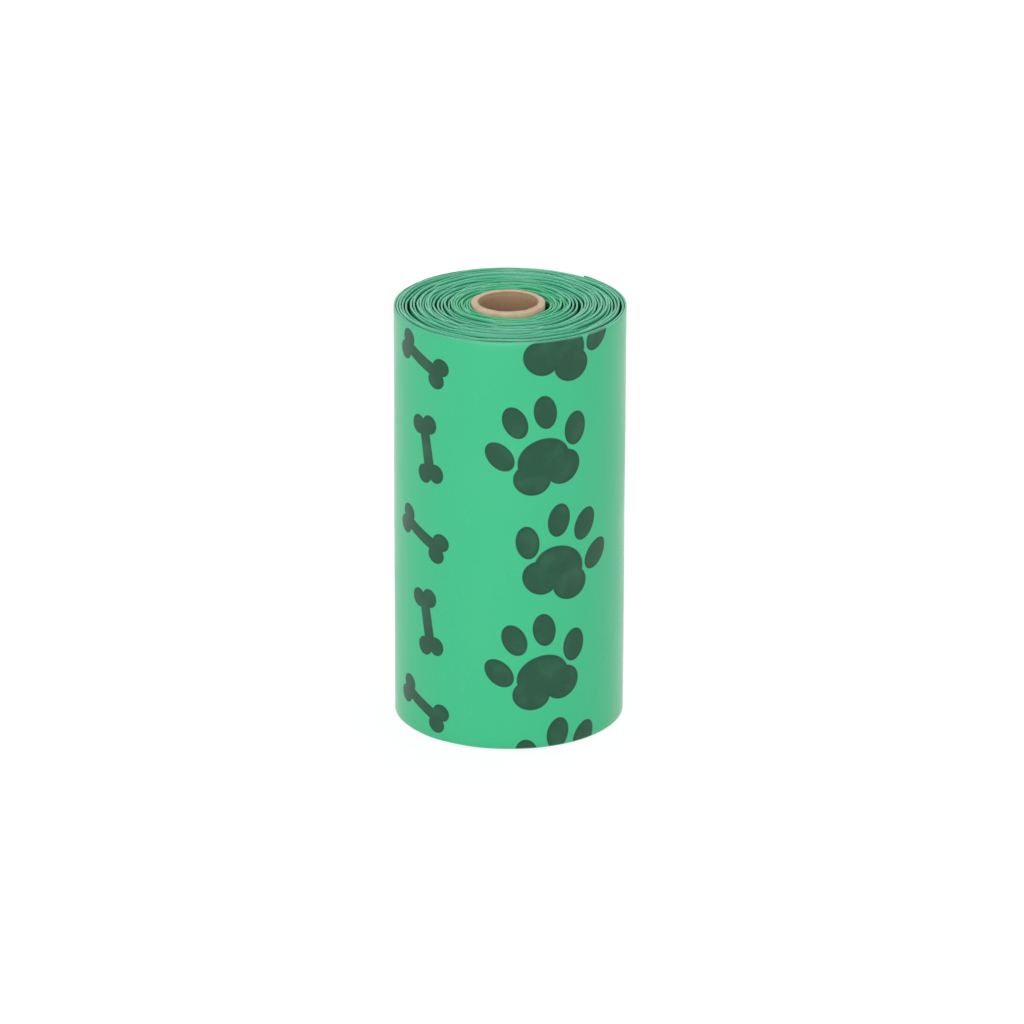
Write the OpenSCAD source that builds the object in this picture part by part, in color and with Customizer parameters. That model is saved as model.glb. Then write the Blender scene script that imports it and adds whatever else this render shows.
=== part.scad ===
// Roll of dog poop bags: a folded film web wound on a paper core, standing on its end.
// Millimetres. The origin is on the core's axis, at the end that the roll stands on.

/* [Bag web] */
// Width of the folded web, which is the length of the roll
web_w = 62; // [50:0.5:80]
// Thickness of one wound layer, which stands for two or three turns of the thin real film
layer_t = 0.27; // [0.2:0.01:0.4]
// Least air between one layer and the next
layer_gap = 0.06; // [0.03:0.01:0.12]
// How much that air varies around the roll
layer_unevenness = 0.05; // [0:0.005:0.12]
// Depth to which the layers stand apart at each end; further in they are wound into one block
loose_end = 6; // [1:0.5:20]
// Full turns wound on the core
turns = 26; // [6:1:30]
// Direction in which the free end of the web lies, counted from +X towards +Y
tail_azimuth = 50; // [0:5:355]

/* [Slack wraps] */
// Widest opening beside the core, to the right
core_slack = 0.3; // [0:0.02:0.8]
// Widest opening among the inner bags, to the right
inner_slack = 0.16; // [0:0.02:0.8]
// Widest opening under the middle bags, at the back
middle_back_slack = 0.3; // [0:0.02:0.8]
// Widest opening under the middle bags, at the front
middle_front_slack = 0.34; // [0:0.02:0.8]
// Widest opening under the middle bags, to the right
middle_right_slack = 0.42; // [0:0.02:0.8]
// Widest opening under the middle bags, to the left
middle_left_slack = 0.46; // [0:0.02:0.8]
// Widest opening between the middle and outer bags, to the right
side_right_slack = 0.12; // [0:0.02:0.8]
// Widest opening between the middle and outer bags, to the left
side_left_slack = 0.22; // [0:0.02:0.8]
// Widest opening under the outer bags, to the front left
outer_slack = 0.56; // [0:0.02:0.8]
// Widest opening among the outer bags, to the front right
outer_front_slack = 0.16; // [0:0.02:0.8]
// Widest opening under the last wraps, to the right
last_slack = 0.36; // [0:0.02:0.8]

/* [Core] */
// Outer diameter of the paper tube
core_od = 10.6; // [9:0.1:16]
// Wall of the paper tube
core_wall = 1.1; // [0.6:0.1:2]
// How far the tube stands proud of the web at the top end
core_proud = 0.45; // [0:0.05:2]
// Air between the tube and the first layer
core_fit = 0.05; // [0.03:0.01:0.3]

/* [Torn edge] */
// Distance from one perforation cut to the next along the free end
perf_pitch = 3.1; // [2:0.1:6]
// Width of a perforation cut
perf_cut = 1.1; // [0.6:0.1:1.6]
// Depth of a perforation cut into the free end
perf_depth = 0.5; // [0.3:0.1:1.5]

/* [Hidden] */
round_fn = 96;
overrun = 1;
rounding = 0.001;
film_colour = [0.30, 0.76, 0.56];
core_colour = [0.77, 0.63, 0.49];

core_r = core_od / 2;
bore_r = core_r - core_wall;
core_len = web_w + core_proud;
last_arc = 4 * turns - 1;

// Slack wraps as [turn where the web widens, direction of the opening from +X, widest opening]
slack_wraps = [
    [0, 0, core_slack],
    [5, 20, inner_slack],
    [8, 95, middle_back_slack],
    [9, 285, middle_front_slack],
    [10, 350, middle_right_slack],
    [11, 175, middle_left_slack],
    [16, 10, side_right_slack],
    [18, 185, side_left_slack],
    [20, 205, outer_slack],
    [22, 305, outer_front_slack],
    [24, 345, last_slack]
];

function sum(values, i = 0) = i >= len(values) ? 0 : values[i] + sum(values, i + 1);
function rounded(x) = round(x / rounding) * rounding;

// The web is a chain of quarter arcs, each a little larger than the one before.
// Arc k runs from k to k + 1 quarter turns, and hands over to the next without a kink,
// because the next centre moves back along the line through the joint by the same growth.
// A web that widens at one side opens a crescent at the other side, so the two joints of a
// turn that face away from an opening share its growth by how squarely they face away.
function facing_away(joint, azimuth) = max(0, -cos(tail_azimuth + 90 * joint - azimuth));
function growth_share(joint, azimuth) =
    facing_away(joint, azimuth) / (1 + sum([for (j = [0 : 3]) facing_away(j, azimuth)]));
function slack_after(k) = sum([
    for (wrap = slack_wraps)
        floor(k / 4) == wrap[0] ? wrap[2] * growth_share(k + 1, wrap[1]) : 0
]);
function unevenness_after(k) = layer_unevenness * (1 + sin(137 * k)) / 8;
function growth_after(k) =
    rounded((layer_t + layer_gap) / 4 + unevenness_after(k) + slack_after(k));
function joint_direction(k) = [[1, 0], [0, 1], [-1, 0], [0, -1]][k % 4];

first_r = core_r + core_fit;
arcs = [
    for (
        k = 0, centre = [0, 0], r = first_r;
        k <= last_arc;
        centre = centre - growth_after(k) * joint_direction(k + 1),
        r = r + growth_after(k),
        k = k + 1
    ) [centre, r]
];

// A quarter turn about the centre of arc k, from one radius to another and one height to another
module quarter_ring(k, inner_r, outer_r, bottom, top) {
    centre = arcs[k][0];
    translate([centre[0], centre[1], 0])
        rotate([0, 0, 90 * (k % 4)])
            rotate_extrude(angle = 90, $fn = round_fn)
                translate([inner_r, bottom])
                    square([outer_r - inner_r, top - bottom]);
}

// One quarter turn of the web: a strip of film as wide as the roll is long
module quarter_wrap(k) {
    quarter_ring(k, arcs[k][1], arcs[k][1] + layer_t, 0, web_w);
}

// Between its loose ends the web is wound layer on layer into one block, out to the middle of
// the last wrap. The last quarter turn stays free of it, as the end that a hand picks up.
module wound_block() {
    difference() {
        for (k = [last_arc - 4 : last_arc - 1])
            quarter_ring(k, bore_r, arcs[k][1] + layer_t / 2, loose_end, web_w - loose_end);
        translate([0, 0, -overrun])
            cylinder(r = first_r, h = web_w + 2 * overrun, $fn = round_fn);
    }
}

// The cuts of the torn perforation, on the last few tenths of the free end
module perforation_cuts() {
    cuts = floor((web_w - perf_cut) / perf_pitch);
    margin = (web_w - (cuts - 1) * perf_pitch) / 2;
    end_r = arcs[last_arc][1];
    end_centre = arcs[last_arc][0];
    for (i = [0 : cuts - 1])
        translate([
            end_centre[0] + end_r - overrun,
            end_centre[1] - perf_depth,
            margin + i * perf_pitch - perf_cut / 2
        ])
            cube([layer_t + 2 * overrun, perf_depth + overrun, perf_cut]);
}

// The folded web of bags, wound from the core outwards in one spiral
module bag_web() {
    color(film_colour)
        rotate([0, 0, tail_azimuth])
            union() {
                wound_block();
                for (k = [0 : last_arc - 1])
                    quarter_wrap(k);
                difference() {
                    quarter_wrap(last_arc);
                    perforation_cuts();
                }
            }
}

// The paper tube that the web is wound on, open from end to end
module core_tube() {
    color(core_colour)
        difference() {
            cylinder(r = core_r, h = core_len, $fn = round_fn);
            translate([0, 0, -overrun])
                cylinder(r = bore_r, h = core_len + 2 * overrun, $fn = round_fn);
        }
}

bag_web();
core_tube();
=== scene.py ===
import math

import bpy
import numpy as np
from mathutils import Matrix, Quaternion, Vector, noise


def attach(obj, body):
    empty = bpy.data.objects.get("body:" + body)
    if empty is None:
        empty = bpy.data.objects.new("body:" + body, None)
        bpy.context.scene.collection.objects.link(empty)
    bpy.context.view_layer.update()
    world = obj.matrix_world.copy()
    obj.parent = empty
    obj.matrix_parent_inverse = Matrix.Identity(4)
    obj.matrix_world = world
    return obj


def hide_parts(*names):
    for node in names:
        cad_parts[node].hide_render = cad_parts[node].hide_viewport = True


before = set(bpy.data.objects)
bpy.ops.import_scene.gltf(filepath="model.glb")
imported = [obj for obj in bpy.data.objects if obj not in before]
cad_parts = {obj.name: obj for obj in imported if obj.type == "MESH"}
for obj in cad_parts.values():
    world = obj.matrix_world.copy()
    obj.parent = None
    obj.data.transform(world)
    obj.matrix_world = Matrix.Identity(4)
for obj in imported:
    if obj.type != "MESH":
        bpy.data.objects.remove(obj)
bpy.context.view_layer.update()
bpy.ops.object.select_all(action="DESELECT")

# Bag web, the turns under the outer wrap
# One long tube of thin polyethylene film, folded lengthwise to the width of the roll and wound
# on the core. It is held by nothing but its own winding, so some wraps stand slack.
WEB_WIDTH = 0.062
LAYER = 0.00027
LEAST_GAP = 0.00006
UNEVEN_GAP = 0.00005
CORE_RADIUS = 0.0053
CORE_FIT = 0.00005
TURNS = 26
QUARTER = math.pi / 2
TAIL_AZIMUTH = math.radians(50)
# Slack wraps: turn where the web widens, direction of the opening in degrees, widest opening
SLACK_WRAPS = (
    (0, 0, 0.0003),
    (5, 20, 0.00016),
    (8, 95, 0.0003),
    (9, 285, 0.00034),
    (10, 350, 0.00042),
    (11, 175, 0.00046),
    (16, 10, 0.00012),
    (18, 185, 0.00022),
    (20, 205, 0.00056),
    (22, 305, 0.00016),
    (24, 345, 0.00036),
)
MICRON = 0.000001
WOUND_STEP = math.radians(5)
UNDER_TAIL = math.radians(15)
# Share of a slack gap that the wraps on either side of it wave into, and the size of a wave
WAVE_SHARE = 0.3
WAVE_LENGTH = 0.0042
WAVE_HEIGHT = 0.012
WAVE_SEED = 9.3
# Wraps lie in bands: at each end of the roll the middle wrap of a band stands highest
BAND_TURNS = 2.9
BAND_WANDER = 0.75
BAND_REACH = 1.5
BAND_DRIFT_QUARTERS = 20
BAND_DRIFT_HEIGHT = 0.02
BAND_RIDGE = 0.0004
BAND_SEED = 6.2
BUNCHING = 0.000016
# Quarter turns at the core and under the tail that lie evenly, and that end evenly
HELD_QUARTERS = 6
PLAIN_QUARTERS = 5
PLAIN_SHARE = 0.3
# Height of the ends of the bands at each turn, next to the plain end of the web
END_LEVELS = (
    (0, -0.0003), (1.5, -0.0002), (4, -0.0001), (8.2, -0.00004), (8.8, -0.00018), (11, -0.00022),
    (12, -0.00012), (17, -0.00006), (19.8, -0.00008), (20.4, -0.00022), (23, -0.00018),
    (24.4, -0.00006), (26, 0),
)
LOWEST_END, HIGHEST_END = -0.0004, 0.0004
# Height of the web's plain end over the floor, so that only its lowest folds touch it
FOOT_ROOM = 0.00034
# How fast a lift at an end of the roll dies away towards its middle
LIFT_POWER = 8
RIPPLE = 0.00004
RIPPLE_LENGTH = 0.0075
RIPPLE_SEED = 3.7
SWELL = 0.00012
SWELL_SIZE = 0.005
END_VARIATION_HEIGHT = 0.01
# How far one bag lies above or below another, and over what share of its run it steps to the next
BAG_STEP = 0.00007
BAG_RUN = 0.061
BAG_JOINT = 0.12
# How far the roll is out of round, always inwards, and over what height that changes
OUT_OF_ROUND = 0.00006
ROLL_RADIUS = 0.0166
DENT_REACH = 1.3
DENT_HEIGHT = 0.02
# The folds make the web thicker along its two edges
FOLD_THICKNESS = 0.00028
FOLD_DEPTH = 0.0007
FOLD_ANGLE = math.radians(60)
EDGE_ROUNDING = 0.00004
SHARP_ANGLE = math.radians(40)


def direction(quarters):
    angle = TAIL_AZIMUTH + quarters * QUARTER
    return Vector((math.cos(angle), math.sin(angle), 0))


def facing_away(joint, azimuth):
    return max(0, -math.cos(TAIL_AZIMUTH + joint * QUARTER - math.radians(azimuth)))


def slack_after(arc):
    """The two joints of a turn that face away from an opening share its growth."""
    growth = 0
    for turn, azimuth, opening in SLACK_WRAPS:
        if arc // 4 == turn:
            whole = 1 + sum(facing_away(joint, azimuth) for joint in range(4))
            growth += opening * facing_away(arc + 1, azimuth) / whole
    return growth


def growth_after(arc):
    uneven = UNEVEN_GAP * (1 + math.sin(math.radians(137 * arc))) / 8
    return round(((LAYER + LEAST_GAP) / 4 + uneven + slack_after(arc)) / MICRON) * MICRON


arc_centres = [Vector((0, 0, 0))]
arc_radii = [CORE_RADIUS + CORE_FIT + LAYER / 2]
arc_starts = [0.0]
for arc in range(4 * TURNS - 1):
    arc_centres.append(arc_centres[-1] - growth_after(arc) * direction(arc + 1))
    arc_starts.append(arc_starts[-1] + QUARTER * arc_radii[-1])
    arc_radii.append(arc_radii[-1] + growth_after(arc))
WEB_LENGTH = arc_starts[-1] + QUARTER * arc_radii[-1]


def drawn_line(name, points):
    """Starts a piece as a line from point to point, in edit mode and all selected."""
    bpy.ops.object.select_all(action="DESELECT")
    bpy.ops.mesh.primitive_plane_add(size=LAYER, location=points[0])
    bpy.context.object.name = bpy.context.object.data.name = name
    bpy.ops.object.transform_apply(location=True)
    bpy.ops.object.mode_set(mode="EDIT")
    bpy.ops.mesh.merge(type="CENTER")
    for here, there in zip(points, points[1:]):
        step = Vector(there) - Vector(here)
        bpy.ops.mesh.extrude_region_move(TRANSFORM_OT_translate={"value": step})
    bpy.ops.mesh.select_all(action="SELECT")


def wind(stretches, step):
    """Spins the edge round the centre of each arc in turn, over its (arc, from angle, to angle).
    Returns the piece and the quarter turns at which each upright line of points lies."""
    quarters = [stretches[0][0] + stretches[0][1] / QUARTER]
    for arc, start, end in stretches:
        steps = round((end - start) / step)
        # A negative angle winds the web to the left, seen from above
        bpy.ops.mesh.spin(
            steps=steps, angle=start - end, center=arc_centres[arc], axis=(0, 0, 1)
        )
        for i in range(1, steps + 1):
            quarters.append(arc + (start + (end - start) * i / steps) / QUARTER)
    bpy.ops.object.mode_set(mode="OBJECT")
    return bpy.context.object, quarters


def place_on_web(quarters):
    arc = min(int(quarters), 4 * TURNS - 1)
    return arc_centres[arc] + arc_radii[arc] * direction(quarters)


def spare_air(inner_quarters):
    """Air between a wrap and the next one out, beyond the least gap"""
    if not 0 <= inner_quarters <= 4 * (TURNS - 1):
        return 0.0
    pitch = place_on_web(inner_quarters + 4).length - place_on_web(inner_quarters).length
    return max(pitch - LAYER - LEAST_GAP, 0)


def length_along(quarters):
    arc = min(int(quarters), 4 * TURNS - 1)
    return arc_starts[arc] + (quarters - arc) * QUARTER * arc_radii[arc]


def ease(x):
    x = min(max(x, 0), 1)
    return x * x * (3 - 2 * x)


def band_phase(quarters, z):
    """Grows by 1 from band to band, and is whole on the middle wrap of each."""
    place = BAND_REACH * direction(quarters)
    place.z = quarters / BAND_DRIFT_QUARTERS + z / BAND_DRIFT_HEIGHT
    return quarters / 4 / BAND_TURNS + BAND_WANDER * noise.noise(place)


def end_lift(quarters, along, z):
    """How far the web's end at this height stands out beyond its plain end"""
    phase = band_phase(quarters, z)
    inside = ease((4 * TURNS - PLAIN_QUARTERS - quarters) / PLAIN_QUARTERS)
    ridge = inside * (0.5 + 0.5 * math.cos(2 * math.pi * phase))
    ridge *= 0.75 + 0.5 * noise.noise(Vector((phase, z, BAND_SEED)))
    level = np.interp(quarters / 4, *zip(*END_LEVELS))
    bag, share = divmod(along / BAG_RUN, 1)
    here, there = noise.cell(Vector((bag, z, 0))), noise.cell(Vector((bag + 1, z, 0)))
    step = here + (there - here) * ease((share - (1 - BAG_JOINT)) / BAG_JOINT)
    height = z / END_VARIATION_HEIGHT
    ripple = noise.noise(Vector((along / RIPPLE_LENGTH, height, RIPPLE_SEED)))
    swell = noise.noise(place_on_web(quarters) / SWELL_SIZE + Vector((0, 0, height)))
    variation = BAG_STEP * step + RIPPLE * ripple + SWELL * swell
    lift = level + BAND_RIDGE * ridge + (PLAIN_SHARE + (1 - PLAIN_SHARE) * inside) * variation
    return min(max(lift, LOWEST_END), HIGHEST_END)


def settled_shift(quarters, along, z):
    """How far the wound web lies outside its plain spiral: it waves into the slack air on both
    sides, wraps of a band lie close together, and the whole roll is a little out of round."""
    place = place_on_web(quarters)
    r = place.length
    wave_at = Vector((along / WAVE_LENGTH, z / WAVE_HEIGHT, 0))
    wave_out = 0.5 + noise.noise(wave_at)
    wave_in = 0.5 + noise.noise(wave_at + Vector((0, 0, WAVE_SEED)))
    shift = WAVE_SHARE * spare_air(quarters) * min(max(wave_out, 0), 1)
    shift -= WAVE_SHARE * spare_air(quarters - 4) * min(max(wave_in, 0), 1)
    held = ease(quarters / HELD_QUARTERS)
    held *= ease((4 * TURNS - HELD_QUARTERS - quarters) / HELD_QUARTERS)
    shift -= BUNCHING * held * math.sin(2 * math.pi * band_phase(quarters, z))
    dent_at = Vector((DENT_REACH * place.x / r, DENT_REACH * place.y / r, z / DENT_HEIGHT))
    return shift - OUT_OF_ROUND * (1 + noise.noise(dent_at)) * (r / ROLL_RADIUS) ** 2


def settle(piece, quarters, per_line, own_relief=None, setback=None):
    """Lets the wound film settle in and out, and end at its own heights. Writes the web's
    length and height as the piece's UV map too."""
    mesh = piece.data
    points = np.empty(3 * len(mesh.vertices))
    mesh.vertices.foreach_get("co", points)
    points = points.reshape(-1, 3)
    web_uv = np.empty((len(points), 2))
    for line, q in enumerate(quarters):
        along = length_along(q)
        top = end_lift(q, along, WEB_WIDTH)
        bottom = max(FOOT_ROOM - end_lift(q, along, 0), 0)
        for i in range(line * per_line, (line + 1) * per_line):
            x, y, z = points[i]
            web_uv[i] = along, z
            back = setback(q, z) if setback else 0
            if back:
                x, y, _ = place_on_web(q - back)
                web_uv[i][0] = length_along(q - back)
            shift = settled_shift(q, along, z) + (own_relief(q, along, z) if own_relief else 0)
            outwards = 1 + shift / math.hypot(x, y)
            height = z / WEB_WIDTH
            lift = top * height**LIFT_POWER + bottom * (1 - height) ** LIFT_POWER
            points[i] = x * outwards, y * outwards, z + lift
    mesh.vertices.foreach_set("co", points.ravel())
    uv = mesh.uv_layers.new(name="web")
    corners = np.empty(len(mesh.loops), dtype=np.int32)
    mesh.loops.foreach_get("vertex_index", corners)
    uv.data.foreach_set("uv", web_uv[corners].ravel())
    mesh.update()


def give_thickness(piece):
    """Makes the wound sheet a closed layer with folded, rounded edges."""
    bpy.ops.object.select_all(action="DESELECT")
    piece.select_set(True)
    bpy.context.view_layer.objects.active = piece
    bpy.ops.object.mode_set(mode="EDIT")
    bpy.ops.mesh.select_all(action="SELECT")
    bpy.ops.mesh.normals_make_consistent(inside=False)
    bpy.ops.object.mode_set(mode="OBJECT")
    thickness = piece.vertex_groups.new(name="thickness")
    for vertex in piece.data.vertices:
        from_end = min(vertex.co.z, WEB_WIDTH - vertex.co.z)
        share = LAYER / FOLD_THICKNESS if from_end > FOLD_DEPTH else 1
        thickness.add([vertex.index], share, "REPLACE")
    film = piece.modifiers.new("film", "SOLIDIFY")
    film.thickness = FOLD_THICKNESS
    film.offset = 0
    film.vertex_group = thickness.name
    folds = piece.modifiers.new("folds", "BEVEL")
    folds.width = EDGE_ROUNDING
    folds.segments = 2
    folds.limit_method = "ANGLE"
    folds.angle_limit = FOLD_ANGLE
    bpy.ops.object.modifier_apply(modifier=film.name)
    # A second UV map runs from 0 on the layer's inner face to 1 on its outer face
    mesh = piece.data
    points = np.empty(3 * len(mesh.vertices))
    mesh.vertices.foreach_get("co", points)
    distance = np.hypot(*points.reshape(-1, 3)[:, :2].T).reshape(2, -1)
    outer = np.concatenate((distance[0] > distance[1], distance[0] <= distance[1]))
    corners = np.empty(len(mesh.loops), dtype=np.int32)
    mesh.loops.foreach_get("vertex_index", corners)
    across = np.stack((outer[corners], np.zeros(len(corners))), axis=1)
    mesh.uv_layers.new(name="across").data.foreach_set("uv", across.astype(np.float32).ravel())
    bpy.ops.object.modifier_apply(modifier=folds.name)
    bpy.ops.object.shade_smooth_by_angle(angle=SHARP_ANGLE)


# Heights of the points across the web, close together where its ends are free
wound_heights = (0, 0.0005, 0.0014, 0.008, 0.031, 0.054, 0.0606, 0.0615, WEB_WIDTH)
foot = arc_centres[0] + arc_radii[0] * direction(0)
drawn_line("bag_web_wound", [foot + Vector((0, 0, z)) for z in wound_heights])
split_arc = 4 * (TURNS - 1) - 1
split_quarters = split_arc + (QUARTER - UNDER_TAIL) / QUARTER
wound_web, wound_quarters = wind(
    [(arc, 0, QUARTER) for arc in range(split_arc)] + [(split_arc, 0, QUARTER - UNDER_TAIL)],
    WOUND_STEP,
)
settle(wound_web, wound_quarters, len(wound_heights))
give_thickness(wound_web)

# Print: dark green ink in a generic pattern of paw prints and bones, run across the whole web
# before it is folded and wound, so that it also shows on the folded edges at the roll's ends.
FILM_GREEN = (0.044, 0.545, 0.255, 1)
FILM_PALE = (0.1, 0.57, 0.31, 1)
FILM_BRIGHT = (0.05, 0.62, 0.27, 1)
# The next colour is the weld's darker tone and also the painted shade between the wraps
FILM_WELD_AND_GAP_SHADE = (0.035, 0.21, 0.12, 1)
# The next two colours are the folded edges, painted paler than the film for the light that shines
# through it
EDGE_GREEN = (0.08, 0.57, 0.34, 1)
EDGE_PALE = (0.22, 0.7, 0.5, 1)
INK_GREEN = (0.004, 0.065, 0.03, 1)
# The next colour is worn ink, and also the painted shade in the grooves between the edge's folds
INK_WORN_AND_GROOVE_SHADE = (0.016, 0.1, 0.05, 1)
INK_RIM = (0.003, 0.045, 0.027, 1)


def shader_group(name, inputs, outputs):
    """A node group with its named sockets, its nodes and links, and its input and output nodes"""
    group = bpy.data.node_groups.new(name, "ShaderNodeTree")
    for socket, kind, value in inputs:
        made = group.interface.new_socket(socket, in_out="INPUT", socket_type=kind)
        if value is not None:
            made.default_value = value
    for socket, kind in outputs:
        group.interface.new_socket(socket, in_out="OUTPUT", socket_type=kind)
    start = group.nodes.new("NodeGroupInput")
    end = group.nodes.new("NodeGroupOutput")
    return group, start, end


def wire(tree, socket, value):
    """Feeds a socket from another socket, or sets it to a plain value."""
    if isinstance(value, bpy.types.NodeSocket):
        tree.links.new(value, socket)
    else:
        socket.default_value = value


def math_node(tree, operation, a, b=None):
    node = tree.nodes.new("ShaderNodeMath")
    node.operation = operation
    wire(tree, node.inputs[0], a)
    if b is not None:
        wire(tree, node.inputs[1], b)
    return node.outputs[0]


def vector_node(tree, operation, a, b=None, output="Vector"):
    node = tree.nodes.new("ShaderNodeVectorMath")
    node.operation = operation
    wire(tree, node.inputs[0], a)
    if b is not None:
        wire(tree, node.inputs[1], b)
    return node.outputs[output]


def turned(tree, vector, angle):
    node = tree.nodes.new("ShaderNodeVectorRotate")
    node.rotation_type = "Z_AXIS"
    wire(tree, node.inputs["Vector"], vector)
    wire(tree, node.inputs["Angle"], angle)
    return node.outputs["Vector"]


def ranged(tree, value, low, high, to_low=0.0, to_high=1.0, smooth=True):
    node = tree.nodes.new("ShaderNodeMapRange")
    node.interpolation_type = "SMOOTHSTEP" if smooth else "LINEAR"
    for socket, given in zip(node.inputs[:5], (value, low, high, to_low, to_high)):
        wire(tree, socket, given)
    return node.outputs["Result"]


def noise_node(tree, vector, scale, detail=2.0, roughness=0.5):
    node = tree.nodes.new("ShaderNodeTexNoise")
    wire(tree, node.inputs["Vector"], vector)
    node.inputs["Scale"].default_value = scale
    node.inputs["Detail"].default_value = detail
    node.inputs["Roughness"].default_value = roughness
    return node.outputs["Fac"]


def mixed(tree, factor, a, b):
    node = tree.nodes.new("ShaderNodeMix")
    node.data_type = "RGBA"
    wire(tree, node.inputs["Factor"], factor)
    wire(tree, node.inputs["A"], a)
    wire(tree, node.inputs["B"], b)
    return node.outputs["Result"]


def oval(tree, place, centre, half_sizes, angle=0.0):
    """0 at an oval's middle and 1 on its rim"""
    from_centre = vector_node(tree, "SUBTRACT", place, (*centre, 0))
    if angle:
        from_centre = turned(tree, from_centre, angle)
    return vector_node(tree, "LENGTH", vector_node(tree, "DIVIDE", from_centre, (*half_sizes, 1)),
                       output="Value")


def printed_shape(name, make_shape):
    """A group that inks one motif in each cell of a grid over the web, each turned its own way.
    Cells are set by their size along and across the web, and the motif by its own size."""
    group, start, end = shader_group(
        name,
        [
            ("Web", "NodeSocketVector", None),
            ("Cell", "NodeSocketVector", (1, 1, 1)),
            ("Offset", "NodeSocketVector", (0, 0, 0)),
            ("Size", "NodeSocketFloat", 0.01),
            ("Stagger", "NodeSocketFloat", 0.0),
            ("Turn", "NodeSocketFloat", 0.0),
            ("Swing", "NodeSocketFloat", 0.2),
            ("Softness", "NodeSocketFloat", 0.05),
        ],
        [("Ink", "NodeSocketFloat"), ("Rim", "NodeSocketFloat")],
    )
    given = start.outputs
    on_grid = vector_node(
        group, "DIVIDE", vector_node(group, "SUBTRACT", given["Web"], given["Offset"]), given["Cell"]
    )
    cell = vector_node(group, "FLOOR", on_grid)
    in_cell = vector_node(group, "SUBTRACT", vector_node(group, "SUBTRACT", on_grid, cell),
                          (0.5, 0.5, 0))
    in_cell = vector_node(group, "MULTIPLY", in_cell, given["Cell"])
    split = group.nodes.new("ShaderNodeSeparateXYZ")
    group.links.new(cell, split.inputs[0])
    odd = math_node(group, "PINGPONG", split.outputs["Y"], 1.0)
    side = math_node(group, "SUBTRACT", math_node(group, "MULTIPLY", odd, 2.0), 1.0)
    sideways = group.nodes.new("ShaderNodeCombineXYZ")
    wire(group, sideways.inputs["X"], math_node(group, "MULTIPLY", side, given["Stagger"]))
    in_cell = vector_node(group, "SUBTRACT", in_cell, sideways.outputs[0])
    scaled = group.nodes.new("ShaderNodeCombineXYZ")
    for axis in "XYZ":
        wire(group, scaled.inputs[axis], given["Size"])
    place = vector_node(group, "DIVIDE", in_cell, scaled.outputs[0])
    angle = math_node(group, "ADD", given["Turn"], math_node(group, "MULTIPLY", side, given["Swing"]))
    place = turned(group, place, angle)
    level = make_shape(group, place)
    soft = given["Softness"]
    ink = ranged(group, level, math_node(group, "SUBTRACT", 1.0, soft),
                 math_node(group, "ADD", 1.0, soft), 1.0, 0.0)
    group.links.new(ink, end.inputs["Ink"])
    group.links.new(ranged(group, level, 0.72, 0.95), end.inputs["Rim"])
    return group


def least_of(tree, levels):
    level = levels[0]
    for other in levels[1:]:
        level = math_node(tree, "MINIMUM", level, other)
    return level


def paw_shape(tree, place):
    """One broad pad made of three ovals, and four toes fanned round it"""
    ovals = [((0, -0.14), (0.24, 0.2), 0), ((-0.15, -0.27), (0.17, 0.15), 0.4),
             ((0.15, -0.27), (0.17, 0.15), -0.4)]
    for x, y, fan in ((-0.36, 0.02, 0.45), (-0.14, 0.28, 0.14), (0.14, 0.28, -0.14),
                      (0.36, 0.02, -0.45)):
        ovals.append(((x, y), (0.105, 0.155), -fan))
    return least_of(tree, [oval(tree, place, *shape) for shape in ovals])


def bone_shape(tree, place):
    """A bar with two round knobs at each end"""
    bar = vector_node(tree, "DIVIDE", vector_node(tree, "ABSOLUTE", place), (0.36, 0.095, 1))
    sides = tree.nodes.new("ShaderNodeSeparateXYZ")
    tree.links.new(bar, sides.inputs[0])
    levels = [math_node(tree, "MAXIMUM", sides.outputs["X"], sides.outputs["Y"])]
    for x in (-0.37, 0.37):
        for y in (-0.11, 0.11):
            levels.append(oval(tree, place, (x, y), (0.145, 0.135)))
    return least_of(tree, levels)


paw_print = printed_shape("paw print", paw_shape)
bone_print = printed_shape("bone print", bone_shape)


def placed(material, group, **values):
    """Places a group in a material, with its own values for the named inputs."""
    node = material.node_tree.nodes.new("ShaderNodeGroup")
    node.node_tree = group
    for socket, value in values.items():
        wire(material.node_tree, node.inputs[socket.replace("_", " ")], value)
    return node


def new_material(name):
    material = bpy.data.materials.new(name)
    material.use_nodes = True
    return material, material.node_tree, material.node_tree.nodes["Principled BSDF"]


# Motifs lie on the web by its own length and height. The outer wrap's middle, which faces the
# front, is at this length along the web.
FRONT_ALONG = length_along(4 * TURNS - (TAIL_AZIMUTH + QUARTER) / QUARTER)
PRINT_REPEAT = 0.048
PAW_SIZE, PAW_ROW, PAW_AT = 0.0162, 0.0165, (0.0062, 0.0052)
BONE_SIZE, BONE_ROW, BONE_AT = 0.0098, 0.0132, (-0.0135, -0.0018)

film, film_tree, film_shader = new_material("printed_film")
web_map = film_tree.nodes.new("ShaderNodeUVMap")
web_map.uv_map = "web"
web = web_map.outputs["UV"]
big_paws = placed(film, paw_print, Web=web, Cell=(PRINT_REPEAT, PAW_ROW, 1), Size=PAW_SIZE,
                  Offset=(FRONT_ALONG + PAW_AT[0] - PRINT_REPEAT / 2, PAW_AT[1], 0),
                  Stagger=0.0019, Turn=0.0, Swing=0.3, Softness=0.03)
small_bones = placed(film, bone_print, Web=web, Cell=(PRINT_REPEAT, BONE_ROW, 1), Size=BONE_SIZE,
                     Offset=(FRONT_ALONG + BONE_AT[0] - PRINT_REPEAT / 2, BONE_AT[1], 0),
                     Stagger=0.0006, Turn=0.9, Swing=0.5, Softness=0.05)
ink = math_node(film_tree, "MAXIMUM", big_paws.outputs["Ink"], small_bones.outputs["Ink"])
rim = math_node(film_tree, "MULTIPLY", big_paws.outputs["Rim"], small_bones.outputs["Rim"])
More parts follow.
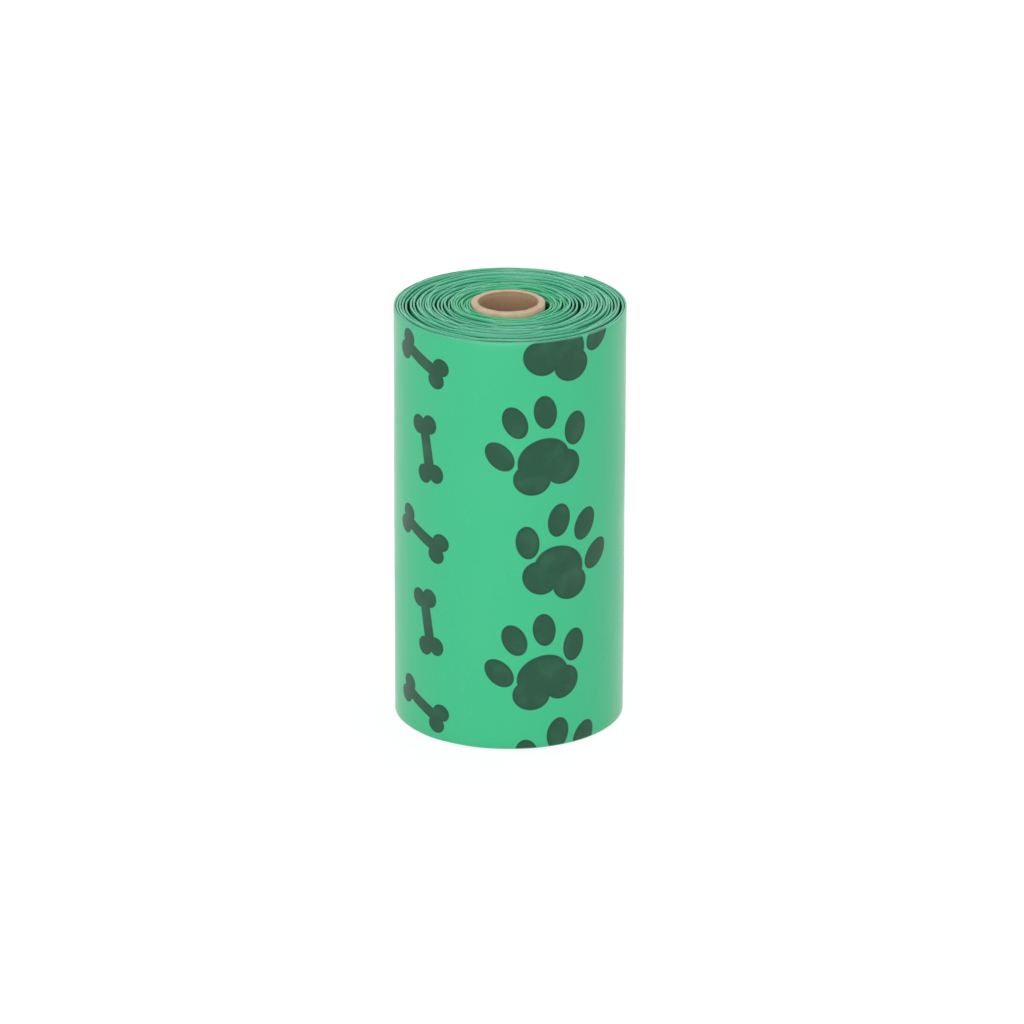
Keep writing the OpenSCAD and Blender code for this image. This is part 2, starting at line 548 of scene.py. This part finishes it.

# At the roll's ends only the folded edges show, and each stretch has its own tone; the edges are
# painted paler, painted light for the light that shines through the thin film
EDGE_DEPTH = 0.00022
HALF_WIDTH = WEB_WIDTH / 2
web_parts = film_tree.nodes.new("ShaderNodeSeparateXYZ")
film_tree.links.new(web, web_parts.inputs[0])
along, height = web_parts.outputs["X"], web_parts.outputs["Y"]
from_middle = math_node(film_tree, "ABSOLUTE",
                        math_node(film_tree, "SUBTRACT", height, HALF_WIDTH))
on_edge = ranged(film_tree, from_middle, HALF_WIDTH - EDGE_DEPTH, HALF_WIDTH - EDGE_DEPTH / 4)
across_map = film_tree.nodes.new("ShaderNodeUVMap")
across_map.uv_map = "across"
across_parts = film_tree.nodes.new("ShaderNodeSeparateXYZ")
film_tree.links.new(across_map.outputs["UV"], across_parts.inputs[0])
across = across_parts.outputs["X"]


def web_noise(run, width, detail=2.0, offset=0.0):
    """Noise over the web with its own size along and across the web"""
    place = film_tree.nodes.new("ShaderNodeCombineXYZ")
    wire(film_tree, place.inputs["X"], math_node(film_tree, "DIVIDE", along, run))
    wire(film_tree, place.inputs["Y"], math_node(film_tree, "DIVIDE", height, width))
    place.inputs["Z"].default_value = offset
    return noise_node(film_tree, place.outputs[0], 1.0, detail=detail)


# Inside the roll the print stops short of the folds, so little of it shows at the roll's ends
PRINT_FADES, PRINT_STOPS = 0.0011, 0.0005
FULL_INK, INSIDE_LOSS, EDGE_LOSS = 0.97, 0.9, 0.5
outer_wrap_start = length_along(split_quarters)
outer_wrap_run = (outer_wrap_start - 0.001, outer_wrap_start)
near_end = ranged(film_tree, from_middle, HALF_WIDTH - PRINT_FADES, HALF_WIDTH - PRINT_STOPS)
near_end = math_node(film_tree, "MULTIPLY", near_end,
                     ranged(film_tree, along, *outer_wrap_run, INSIDE_LOSS, 0.0))
near_end = math_node(film_tree, "MAXIMUM", near_end,
                     math_node(film_tree, "MULTIPLY", on_edge, EDGE_LOSS))
ink = math_node(film_tree, "MULTIPLY", ink, math_node(film_tree, "SUBTRACT", FULL_INK, near_end))

# Fine grooves part the web's own folds from each other across each layer's edge, with painted shade
# darkening the film in them
FOLDS_ACROSS = 3
GROOVE_WIDTH, GROOVE_SHADE_TONE, GROOVE_DEPTH = 0.22, 0.3, 0.00004
groove = math_node(film_tree, "PINGPONG",
                   math_node(film_tree, "MULTIPLY", across, FOLDS_ACROSS), 0.5)
groove = ranged(film_tree, groove, 0.0, GROOVE_WIDTH, 1.0, 0.0)
groove = math_node(film_tree, "MULTIPLY", groove, on_edge)

# The film is a little cloudy, the ink a little worn, and the innermost wraps are the brightest
BRIGHT_RUN, BRIGHT_SHARE = (0.22, 0.42), 0.75
edge_tone = ranged(film_tree, web_noise(run=0.019, width=1.0, detail=3, offset=2.0), 0.3, 0.7)
cloud = ranged(film_tree, web_noise(run=0.012, width=0.016, detail=3), 0.35, 0.7)
mottle = ranged(film_tree, web_noise(run=0.0035, width=0.0035, detail=4, offset=5.0), 0.42, 0.75)
green = mixed(film_tree, math_node(film_tree, "MULTIPLY", cloud, 0.1), FILM_GREEN, FILM_PALE)
edge_green = mixed(film_tree, edge_tone, EDGE_GREEN, EDGE_PALE)
edge_green = mixed(film_tree, ranged(film_tree, along, *BRIGHT_RUN, BRIGHT_SHARE, 0.0),
                   edge_green, FILM_BRIGHT)
# Painted shade: the grooves darken the edge's colour
edge_green = mixed(film_tree, math_node(film_tree, "MULTIPLY", groove, GROOVE_SHADE_TONE),
                   edge_green, INK_WORN_AND_GROOVE_SHADE)

# The weld that closes the last bag's bottom runs across the web near its torn end
SEAL_AT, SEAL_HALF, SEAL_TONE = WEB_LENGTH - 0.0085, 0.0006, 0.22
from_seal = math_node(film_tree, "ABSOLUTE", math_node(film_tree, "SUBTRACT", along, SEAL_AT))
seal = ranged(film_tree, from_seal, SEAL_HALF * 0.6, SEAL_HALF, 1.0, 0.0)
green = mixed(film_tree, math_node(film_tree, "MULTIPLY", seal, SEAL_TONE), green, FILM_WELD_AND_GAP_SHADE)

# Painted shade between the wraps: little light gets in there, and what does is soaked up by one face
# after another, so the inner wraps' faces are painted darker below their edges
GAP_SHADE_FROM, GAP_SHADE_BELOW, GAP_SHADE_SHARE = 0.00008, 0.0004, 0.8
painted_gap_shade = ranged(film_tree, from_middle, HALF_WIDTH - GAP_SHADE_BELOW, HALF_WIDTH - GAP_SHADE_FROM,
              GAP_SHADE_SHARE, 0.0)
painted_gap_shade = math_node(film_tree, "MULTIPLY", ranged(film_tree, along, *outer_wrap_run, 1, 0), painted_gap_shade)
green = mixed(film_tree, painted_gap_shade, green, FILM_WELD_AND_GAP_SHADE)
EDGE_SHARE, RIM_SHARE = 0.85, 0.6
green = mixed(film_tree, math_node(film_tree, "MULTIPLY", on_edge, EDGE_SHARE), green, edge_green)
ink_tone = mixed(film_tree, mottle, INK_GREEN, INK_WORN_AND_GROOVE_SHADE)
ink_tone = mixed(film_tree, math_node(film_tree, "MULTIPLY", rim, RIM_SHARE), ink_tone, INK_RIM)
film_tree.links.new(mixed(film_tree, ink, green, ink_tone), film_shader.inputs["Base Color"])

# Thin film is never quite flat: long soft folds across the web, and a fine crinkle
FOLD_RELIEF, STREAK_RELIEF, CRINKLE_RELIEF = 0.0001, 0.000006, 0.00002
folds = math_node(film_tree, "MULTIPLY",
                  web_noise(run=0.005, width=0.04, detail=1.0, offset=8.0), FOLD_RELIEF)
streaks = math_node(film_tree, "MULTIPLY",
                    web_noise(run=0.04, width=0.0011, offset=11.0), STREAK_RELIEF)
crinkle = math_node(film_tree, "MULTIPLY",
                    web_noise(run=0.0012, width=0.002, offset=14.0), CRINKLE_RELIEF)
relief = math_node(film_tree, "ADD", math_node(film_tree, "ADD", folds, streaks), crinkle)
relief = math_node(film_tree, "SUBTRACT", relief,
                   math_node(film_tree, "MULTIPLY", groove, GROOVE_DEPTH))
# The bars that made the weld left a fine ribbing
RIB_PITCH, RIB_FLOOR, RIB_DEPTH = 0.0004, 0.4, 0.00005
ribs = math_node(film_tree, "PINGPONG", math_node(film_tree, "DIVIDE", height, RIB_PITCH), 0.5)
ribs = math_node(film_tree, "MULTIPLY", math_node(film_tree, "ADD", ribs, RIB_FLOOR), RIB_DEPTH)
relief = math_node(film_tree, "SUBTRACT", relief, math_node(film_tree, "MULTIPLY", seal, ribs))
film_bump = film_tree.nodes.new("ShaderNodeBump")
film_bump.inputs["Distance"].default_value = 1.0
film_bump.inputs["Strength"].default_value = 0.6
wire(film_tree, film_bump.inputs["Height"], relief)
film_tree.links.new(film_bump.outputs["Normal"], film_shader.inputs["Normal"])
FILM_ROUGHNESS, INK_DULLING = (0.25, 0.33), 0.08
roughness = ranged(film_tree, cloud, 0.0, 1.0, *FILM_ROUGHNESS, smooth=False)
roughness = math_node(film_tree, "ADD", roughness,
                      math_node(film_tree, "MULTIPLY", ink, INK_DULLING))
film_tree.links.new(roughness, film_shader.inputs["Roughness"])
film_shader.inputs["IOR"].default_value = 1.42

wound_web.data.materials.append(film)
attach(wound_web, "root")
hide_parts("bag_web")

# Outer wrap and tail
# The last turn of the same web, up to the free end where a bag was torn off along its
# perforation. Nothing sticks it down: it clings to the wrap below and its end lifts a little.
WRAP_STEP = math.radians(1.5)
PERFORATION_PITCH = 0.0031
PERFORATION_CUT = 0.0011
CUT_DEPTH = 0.0005
CUT_SHOULDER = 0.00006
TAIL_RUN = math.radians(12)
TAIL_LIFT = 0.00016
TORN_REACH = math.radians(6)
# What is left of the film between two cuts tore and stretched unevenly
TEAR_DEPTH, TEAR_SIZE, TEAR_SEED = 0.00009, 0.0006, 1.9
CREASE, CREASE_LENGTH, CREASE_HEIGHT, CREASE_SEED = 0.00002, 0.009, 0.004, 5.1
# The wrap's two ends flare in and out a little
FLARE, FLARE_LENGTH, FLARE_REACH = 0.00004, 0.006, 0.004

cut_count = int((WEB_WIDTH - PERFORATION_CUT) / PERFORATION_PITCH)
cut_margin = (WEB_WIDTH - (cut_count - 1) * PERFORATION_PITCH) / 2
wrap_heights = [0.0]
for cut in range(cut_count):
    middle = cut_margin + cut * PERFORATION_PITCH
    low, high = middle - PERFORATION_CUT / 2, middle + PERFORATION_CUT / 2
    last = wrap_heights[-1]
    wrap_heights.append(last + (low - CUT_SHOULDER - last) / 2)
    wrap_heights += [low - CUT_SHOULDER, low, high, high + CUT_SHOULDER]
wrap_heights.append((wrap_heights[-1] + WEB_WIDTH) / 2)
wrap_heights.append(WEB_WIDTH)


def wrap_relief(quarters, along, z):
    """Soft creases of the outer wrap, none of them near its start under the tail"""
    from_start = (quarters - split_quarters) * QUARTER
    from_end = (4 * TURNS - quarters) * QUARTER
    creases = noise.noise(Vector((along / CREASE_LENGTH, z / CREASE_HEIGHT, CREASE_SEED)))
    flare = ease(1 - z / FLARE_REACH) + ease(1 - (WEB_WIDTH - z) / FLARE_REACH)
    flare_wave = noise.noise(Vector((along / FLARE_LENGTH, 0, z)))
    relief = CREASE * creases + FLARE * flare * flare_wave
    relief *= ease((from_start - UNDER_TAIL) / UNDER_TAIL)
    return relief + TAIL_LIFT * ease(1 - from_end / TAIL_RUN) * (1 + 0.3 * creases)


def torn_back(quarters, z):
    """How many quarter turns the free end is set back at this height, most of all in the cuts"""
    near_end = 1 - (4 * TURNS - quarters) * QUARTER / TORN_REACH
    if near_end <= 0:
        return 0
    cut = round((z - cut_margin) / PERFORATION_PITCH)
    from_cut = abs(z - cut_margin - cut * PERFORATION_PITCH)
    in_cut = 0 <= cut < cut_count and from_cut < PERFORATION_CUT / 2 + CUT_SHOULDER / 2
    if in_cut:
        depth = CUT_DEPTH * (0.8 + 0.4 * noise.cell(Vector((cut, 4, 0))))
    else:
        depth = TEAR_DEPTH * (0.5 + 0.5 * noise.noise(Vector((z / TEAR_SIZE, TEAR_SEED, cut))))
    return near_end * depth / arc_radii[-1] / QUARTER


foot = arc_centres[split_arc] + arc_radii[split_arc] * direction(split_quarters)
drawn_line("bag_web_outer_wrap", [foot + Vector((0, 0, z)) for z in wrap_heights])
outer_wrap, wrap_quarters = wind(
    [(split_arc, QUARTER - UNDER_TAIL, QUARTER)]
    + [(arc, 0, QUARTER) for arc in range(split_arc + 1, 4 * TURNS - 1)]
    + [(4 * TURNS - 1, 0, QUARTER - TORN_REACH), (4 * TURNS - 1, QUARTER - TORN_REACH, QUARTER)],
    WRAP_STEP,
)
settle(outer_wrap, wrap_quarters, len(wrap_heights), wrap_relief, torn_back)
give_thickness(outer_wrap)
outer_wrap.data.materials.append(film)
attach(outer_wrap, "root")
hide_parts("bag_web")

# Core tube
# Brown paper wound on a slant and glued into a stiff little tube, then cut to length, which
# leaves its rim a bit rough. The web is wound straight on it and it stays in the roll.
CORE_BORE = 0.0042
CORE_LENGTH = 0.06245
CORE_STEPS, WALL_ROWS, RIM_ROWS = 144, 76, 12
CORE_SHARP_ANGLE = math.radians(50)
PLIES = 4
PLY = (CORE_RADIUS - CORE_BORE) / PLIES
SLANT_PITCH = 0.021
SEAM_WIDTH, SEAM_DEPTH = 0.00035, 0.00006
SEAM_FADE = 0.0006
RIM_WEAR, RIM_WEAR_DEPTH, RIM_WEAR_REACH = 0.00016, 0.0012, 2.2
PLY_SEED = 1.7
FUZZ_SIZE = 0.00042
CORE_DENT, CORE_DENT_HEIGHT, CORE_DENT_REACH = 0.00006, 0.02, 1.6
PIT_DEPTH, PIT_SIZE = 0.000012, 0.0009
CORE_BROWN = (0.7, 0.5, 0.33, 1)
CORE_PALE = (0.78, 0.61, 0.46, 1)
# The next colour is the dark of the paper's fibres and also the painted shade in the bore
CORE_FIBRE_AND_BORE_SHADE = (0.46, 0.31, 0.185, 1)
FIBRE = (0.24, 0.15, 0.085, 1)

lip = PLY / 3
wall_heights = list(np.linspace(lip, CORE_LENGTH - lip, WALL_ROWS))
rim_width = CORE_RADIUS - CORE_BORE - 2 * lip
rim_radii = [CORE_BORE + lip + rim_width * i / RIM_ROWS for i in range(RIM_ROWS + 1)]
section = [(CORE_BORE, z) for z in wall_heights]
section += [(r, CORE_LENGTH) for r in rim_radii]
section += [(CORE_RADIUS, z) for z in reversed(wall_heights)]
section += [(r, 0) for r in reversed(rim_radii)]
section.append(section[0])
drawn_line("core_tube_wound", [(r, 0, z) for r, z in section])
bpy.ops.mesh.spin(steps=CORE_STEPS, angle=2 * math.pi, center=(0, 0, 0), axis=(0, 0, 1))
bpy.ops.mesh.select_all(action="SELECT")
bpy.ops.mesh.remove_doubles(threshold=MICRON)
bpy.ops.mesh.normals_make_consistent(inside=False)
bpy.ops.object.mode_set(mode="OBJECT")
core = bpy.context.object
for vertex in core.data.vertices:
    x, y, z = vertex.co
    r, angle = math.hypot(x, y), math.atan2(y, x)
    cosine, sine = x / r, y / r
    # The butt joint of the outermost and innermost ply runs round on a slant
    turn = (z / SLANT_PITCH + angle / (2 * math.pi)) % 1
    from_seam = abs(turn - 0.5) * SLANT_PITCH
    below_rim = ease(min(z, CORE_LENGTH - z) / SEAM_FADE)
    groove_in = SEAM_DEPTH * ease(1 - from_seam / SEAM_WIDTH) * below_rim
    dent_at = Vector((CORE_DENT_REACH * cosine, CORE_DENT_REACH * sine, z / CORE_DENT_HEIGHT))
    dent = CORE_DENT * (0.5 + 0.5 * noise.noise(dent_at))
    pitted = PIT_DEPTH * (1 + noise.noise(Vector((x, y, z)) / PIT_SIZE))
    if r > (CORE_BORE + CORE_RADIUS) / 2:
        shift = -dent - groove_in - pitted
    else:
        shift = groove_in - dent + pitted
    # The knife leaves each ply at its own height, with a fuzzy, slightly wavy rim
    ply = min(int((r - CORE_BORE) / PLY), PLIES - 1)
    worn_at = Vector((RIM_WEAR_REACH * cosine, RIM_WEAR_REACH * sine, PLY_SEED * ply))
    worn = 0.5 + 0.5 * noise.noise(worn_at)
    fuzz = 0.5 + 0.5 * noise.noise(Vector((x, y, 0)) / FUZZ_SIZE)
    wear = RIM_WEAR * max(0.7 * worn + 0.5 * fuzz - 0.25, 0)
    at_end = ease(1 - min(z, CORE_LENGTH - z) / RIM_WEAR_DEPTH)
    lower = wear * at_end * (1 if z < CORE_LENGTH / 2 else -1)
    vertex.co = (x + shift * cosine, y + shift * sine, z + lower)
bpy.ops.object.shade_smooth_by_angle(angle=CORE_SHARP_ANGLE)

paper, paper_tree, paper_shader = new_material("core_paper")
coordinates = paper_tree.nodes.new("ShaderNodeTexCoord")
place = paper_tree.nodes.new("ShaderNodeSeparateXYZ")
paper_tree.links.new(coordinates.outputs["Object"], place.inputs[0])
px, py, pz = (place.outputs[axis] for axis in "XYZ")
radius = math_node(paper_tree, "SQRT", math_node(
    paper_tree, "ADD", math_node(paper_tree, "MULTIPLY", px, px),
    math_node(paper_tree, "MULTIPLY", py, py)))
turn = math_node(paper_tree, "DIVIDE", math_node(paper_tree, "ARCTAN2", py, px), 2 * math.pi)
slant = math_node(paper_tree, "ADD", math_node(paper_tree, "DIVIDE", pz, SLANT_PITCH), turn)
seam = math_node(paper_tree, "ABSOLUTE", math_node(
    paper_tree, "SUBTRACT", math_node(paper_tree, "FRACT", slant), 0.5))
seam = ranged(paper_tree, seam, 0.25 * SEAM_WIDTH / SLANT_PITCH, SEAM_WIDTH / SLANT_PITCH, 1.0, 0.0)
# Fibres lie along the slanted strip, so the noise is drawn out round the tube
FIBRES_ALONG, FIBRES_UP, FIBRES_BACK, FIBRES_IN = 26, 220, 7, 2500
fibre_place = paper_tree.nodes.new("ShaderNodeCombineXYZ")
wire(paper_tree, fibre_place.inputs["X"], math_node(paper_tree, "MULTIPLY", slant, FIBRES_ALONG))
wire(paper_tree, fibre_place.inputs["Y"], math_node(
    paper_tree, "SUBTRACT", math_node(paper_tree, "MULTIPLY", pz, FIBRES_UP),
    math_node(paper_tree, "MULTIPLY", turn, FIBRES_BACK)))
wire(paper_tree, fibre_place.inputs["Z"], math_node(paper_tree, "MULTIPLY", radius, FIBRES_IN))
fibres = noise_node(paper_tree, fibre_place.outputs[0], 3.0, detail=5, roughness=0.65)
FLECK_SCALE, BLOTCH_SCALE = 2600, 420
on_tube = coordinates.outputs["Object"]
flecks = ranged(paper_tree, noise_node(paper_tree, on_tube, FLECK_SCALE, detail=2), 0.62, 0.72)
blotch = ranged(paper_tree, noise_node(paper_tree, on_tube, BLOTCH_SCALE, detail=4), 0.3, 0.7)
# Painted shade: the bore's wall is painted a darker brown, where shade falls inside the tube
BORE_EDGE = (CORE_BORE + 0.0001, CORE_BORE + 0.0003)
bore_shade = ranged(paper_tree, radius, *BORE_EDGE, 1.0, 0.0)
plies = math_node(paper_tree, "PINGPONG", math_node(
    paper_tree, "DIVIDE", math_node(paper_tree, "SUBTRACT", radius, CORE_BORE), PLY), 0.5)
PLY_LINE = 0.16
plies = ranged(paper_tree, plies, 0.0, PLY_LINE, 1.0, 0.0)
on_rim = math_node(paper_tree, "ABSOLUTE",
                   math_node(paper_tree, "SUBTRACT", pz, CORE_LENGTH / 2))
RIM_EDGE = (CORE_LENGTH / 2 - 0.0005, CORE_LENGTH / 2 - 0.0002)
on_rim = ranged(paper_tree, on_rim, *RIM_EDGE)
plies = math_node(paper_tree, "MULTIPLY", plies, on_rim)
brown = mixed(paper_tree, blotch, CORE_BROWN, CORE_PALE)
brown = mixed(paper_tree, bore_shade, brown, CORE_FIBRE_AND_BORE_SHADE)
long_fibres = math_node(paper_tree, "MULTIPLY", ranged(paper_tree, fibres, 0.45, 0.7), 0.4)
brown = mixed(paper_tree, long_fibres, brown, CORE_FIBRE_AND_BORE_SHADE)
seam = math_node(paper_tree, "MULTIPLY", seam, math_node(paper_tree, "SUBTRACT", 1.0, on_rim))
SEAM_TONE, PLY_TONE, FLECK_TONE = 0.6, 0.5, 0.45
dark_marks = math_node(paper_tree, "MAXIMUM", math_node(paper_tree, "MULTIPLY", plies, PLY_TONE),
                       math_node(paper_tree, "MULTIPLY", flecks, FLECK_TONE))
dark_marks = math_node(paper_tree, "MAXIMUM",
                       math_node(paper_tree, "MULTIPLY", seam, SEAM_TONE), dark_marks)
brown = mixed(paper_tree, dark_marks, brown, FIBRE)
paper_tree.links.new(brown, paper_shader.inputs["Base Color"])
FIBRE_RELIEF, PLY_RELIEF = 0.00004, 0.00003
paper_relief = math_node(paper_tree, "SUBTRACT",
                         math_node(paper_tree, "MULTIPLY", fibres, FIBRE_RELIEF),
                         math_node(paper_tree, "MULTIPLY", plies, PLY_RELIEF))
paper_bump = paper_tree.nodes.new("ShaderNodeBump")
paper_bump.inputs["Distance"].default_value = 1.0
paper_bump.inputs["Strength"].default_value = 0.8
wire(paper_tree, paper_bump.inputs["Height"], paper_relief)
paper_tree.links.new(paper_bump.outputs["Normal"], paper_shader.inputs["Normal"])
paper_shader.inputs["Roughness"].default_value = 0.88
paper_shader.inputs["Specular IOR Level"].default_value = 0.3
core.data.materials.append(paper)
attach(core, "root")
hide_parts("core_tube")

# Floor, background, lamps and camera
# A white table that keeps a soft shadow, and low, wide light from the front as in the picture.
FLOOR_SIZE = 6.0
WHITE = (1, 1, 1, 1)
TABLE_WHITE = (0.85, 0.85, 0.85, 1)
ROOM_LIGHT = 0.66
SEEN_WHITE = 1.1
SEEN_WHITE_SHARE = 0.8


def seen_directly(tree):
    """1 for what the camera sees, straight or mirrored or through glass, and 0 for other light"""
    path = tree.nodes.new("ShaderNodeLightPath")
    kinds = [path.outputs[f"Is {kind} Ray"] for kind in ("Camera", "Glossy", "Transmission")]
    return math_node(tree, "MAXIMUM", math_node(tree, "MAXIMUM", *kinds[:2]), kinds[2])


bpy.ops.object.select_all(action="DESELECT")
bpy.ops.mesh.primitive_plane_add(size=FLOOR_SIZE, location=(0, 0, 0))
floor = bpy.context.object
floor.name = "floor"
table, table_tree, table_shader = new_material("white_table")
table_shader.inputs["Base Color"].default_value = TABLE_WHITE
table_shader.inputs["Roughness"].default_value = 0.9
table_white = table_tree.nodes.new("ShaderNodeEmission")
table_white.inputs["Color"].default_value = WHITE
table_white.inputs["Strength"].default_value = SEEN_WHITE
table_mix = table_tree.nodes.new("ShaderNodeMixShader")
wire(table_tree, table_mix.inputs["Fac"],
     math_node(table_tree, "MULTIPLY", seen_directly(table_tree), SEEN_WHITE_SHARE))
table_tree.links.new(table_shader.outputs["BSDF"], table_mix.inputs[1])
table_tree.links.new(table_white.outputs["Emission"], table_mix.inputs[2])
table_tree.links.new(table_mix.outputs["Shader"],
                     table_tree.nodes["Material Output"].inputs["Surface"])
floor.data.materials.append(table)

room = bpy.data.worlds.new("white_room")
bpy.context.scene.world = room
room.use_nodes = True
room_tree = room.node_tree
backdrop = room_tree.nodes["Background"]
backdrop.inputs["Color"].default_value = WHITE
wire(room_tree, backdrop.inputs["Strength"],
     ranged(room_tree, seen_directly(room_tree), 0.0, 1.0, ROOM_LIGHT, 1.0, smooth=False))


def soft_sun(name, azimuth, height, strength, spread):
    """Even light from one side: azimuth 0 is from the camera, and 90 from its right."""
    light = bpy.data.lights.new(name, "SUN")
    light.energy = strength
    light.angle = math.radians(spread)
    lamp = bpy.data.objects.new(name, light)
    bpy.context.scene.collection.objects.link(lamp)
    side, up = math.radians(azimuth), math.radians(height)
    towards = Vector((math.sin(side) * math.cos(up), -math.cos(side) * math.cos(up), math.sin(up)))
    lamp.rotation_euler = towards.to_track_quat("Z", "Y").to_euler()


soft_sun("front_light", -12, 14, 1.17, 50)
soft_sun("top_light", 150, 60, 0.45, 60)

CAMERA_DISTANCE = 0.9
CAMERA_ROLL = math.radians(0.2)
CAMERA_HEIGHT_ANGLE = math.radians(21.1)
PIXELS_PER_METRE = 6942
IMAGE_SIDE = 1024
SENSOR_WIDTH = 36
AIM_RIGHT, AIM_BELOW_MIDDLE = 0.00065, 0.0007
aim = Vector((AIM_RIGHT, 0, WEB_WIDTH / 2 - AIM_BELOW_MIDDLE))
camera_data = bpy.data.cameras.new("camera")
camera = bpy.data.objects.new("camera", camera_data)
bpy.context.scene.collection.objects.link(camera)
bpy.context.scene.camera = camera
camera_data.sensor_width = SENSOR_WIDTH
camera_data.lens = SENSOR_WIDTH * CAMERA_DISTANCE * PIXELS_PER_METRE / IMAGE_SIDE
back = Vector((0, -math.cos(CAMERA_HEIGHT_ANGLE), math.sin(CAMERA_HEIGHT_ANGLE)))
camera.location = aim + CAMERA_DISTANCE * back
aimed = (-back).to_track_quat("-Z", "Y") @ Quaternion((0, 0, 1), CAMERA_ROLL)
camera.rotation_euler = aimed.to_euler()

bpy.context.scene.view_settings.view_transform = "Standard"
